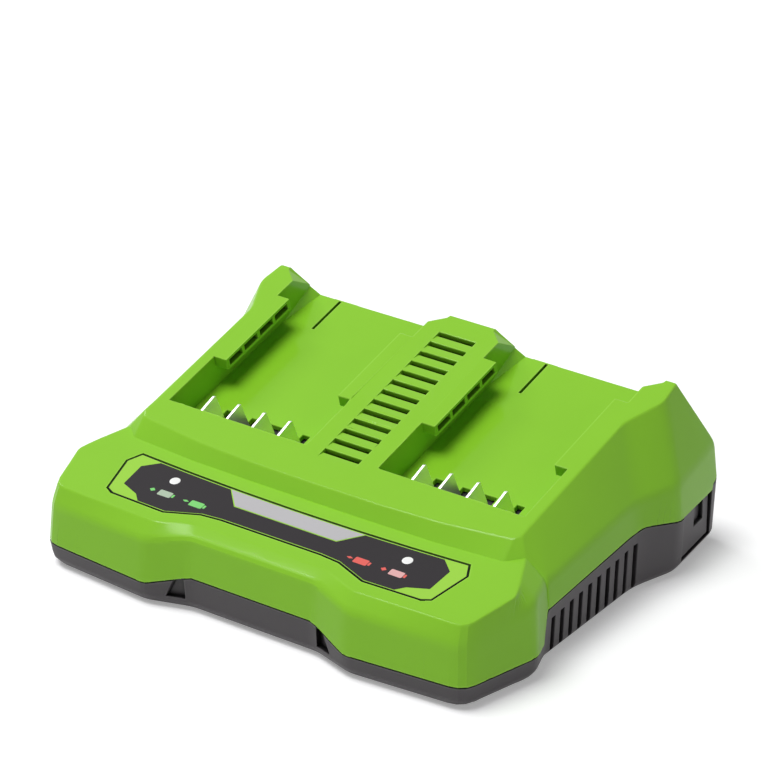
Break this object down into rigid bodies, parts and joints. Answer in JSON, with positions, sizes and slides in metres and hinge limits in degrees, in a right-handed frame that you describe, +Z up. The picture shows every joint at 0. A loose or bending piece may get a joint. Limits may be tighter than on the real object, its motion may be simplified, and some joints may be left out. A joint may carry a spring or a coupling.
{
  "type": "power tool battery charger",
  "caption": "Bench charger for slide-on tool batteries: faceted green housing on a charcoal base, side-by-side bays with rails and contact blades, status panel and vents.",
  "frame": {"origin": "centre of the overall box on the plane that the rubber feet rest on", "axes": "+X across the width to the right, +Y from the status panel to the rear, +Z up"},
  "size_m": [0.2166, 0.1714, 0.0717],
  "materials": {
    "housing_green": "fine satin moulded plastic, bright green",
    "base_charcoal": "fine satin moulded plastic, charcoal",
    "panel_sheet": "printed plastic sheet, dark with light green ends",
    "lens_white": "diffusing white light pipe",
    "board_green": "lacquered circuit board",
    "led_white": "white lamp packages",
    "screw_zinc": "zinc plated steel",
    "contact_nickel": "nickel plated brass, bright",
    "black_plastic": "black moulded plastic",
    "cable_grey": "grey flat cable",
    "ferrite": "sintered ferrite",
    "winding_tape": "yellow tape over the winding",
    "copper_wire": "enamelled copper wire",
    "core_yellow": "coated powder core",
    "capacitor_sleeve": "dark blue sleeve",
    "capacitor_box": "ochre plastic case",
    "varistor_blue": "blue epoxy coat",
    "fuse_glass": "clear glass tube",
    "heatsink_aluminium": "extruded aluminium",
    "relay_case": "orange plastic case",
    "terminal_green": "green plastic",
    "rubber_black": "soft black rubber"
  },
  "bodies": {
    "root": {"top_shell": "housing_green", "base_shell": "base_charcoal", "status_panel": "panel_sheet", "led_lens_left": "lens_white", "led_lens_right": "lens_white", "indicator_board": "board_green", "indicator_leds": "led_white", "indicator_board_screws": "screw_zinc", "ribbon_cable": "cable_grey", "terminal_block_left": "black_plastic", "terminal_block_right": "black_plastic", "contact_blades_left": "contact_nickel", "contact_blades_right": "contact_nickel", "main_board": "board_green", "board_screws": "screw_zinc", "transformer_core": "ferrite", "transformer_bobbin": "black_plastic", "transformer_winding": "winding_tape", "filter_choke_core": "ferrite", "filter_choke_winding": "copper_wire", "output_choke_core": "core_yellow", "output_choke_winding": "copper_wire", "bulk_capacitor": "capacitor_sleeve", "output_capacitors": "capacitor_sleeve", "filter_capacitor": "capacitor_box", "bridge_rectifier": "black_plastic", "varistor": "varistor_blue", "mains_fuse": "fuse_glass", "fuse_clips": "screw_zinc", "heatsink": "heatsink_aluminium", "power_transistors": "black_plastic", "charge_relays": "relay_case", "control_chip": "black_plastic", "mains_terminal": "terminal_green", "cord_gland": "rubber_black", "case_screws": "screw_zinc", "rubber_feet": "rubber_black"}
  },
  "joints": []
}
